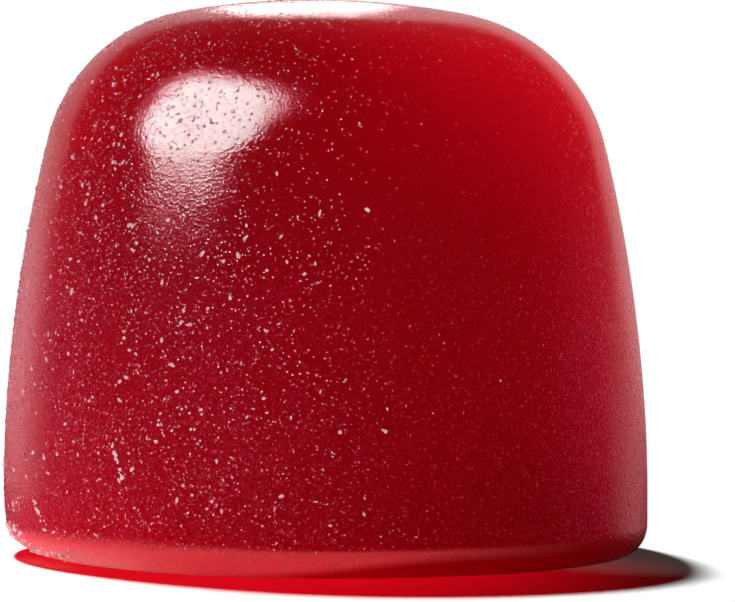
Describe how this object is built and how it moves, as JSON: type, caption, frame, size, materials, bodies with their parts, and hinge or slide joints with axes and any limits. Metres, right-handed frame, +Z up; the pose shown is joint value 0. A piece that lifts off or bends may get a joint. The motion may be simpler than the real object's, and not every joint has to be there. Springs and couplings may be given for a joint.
{
  "type": "raspberry gummy",
  "caption": "Gumdrop-shaped sweet of translucent ruby jelly: a flat base with a rounded foot, a bulging wall that narrows upwards, a round shoulder and a nearly flat crown.",
  "frame": {"origin": "middle of the flat base, on the surface it stands on", "axes": "+Z up along the moulded axis, -Y towards the side seen in the picture, +X to the right of that view"},
  "size_m": [0.018, 0.018, 0.0155],
  "materials": {
    "jelly": "deep ruby translucent fruit jelly with a satin, finely pitted skin and a light dust of white powder"
  },
  "bodies": {
    "root": {"gummy": "jelly"}
  },
  "joints": []
}
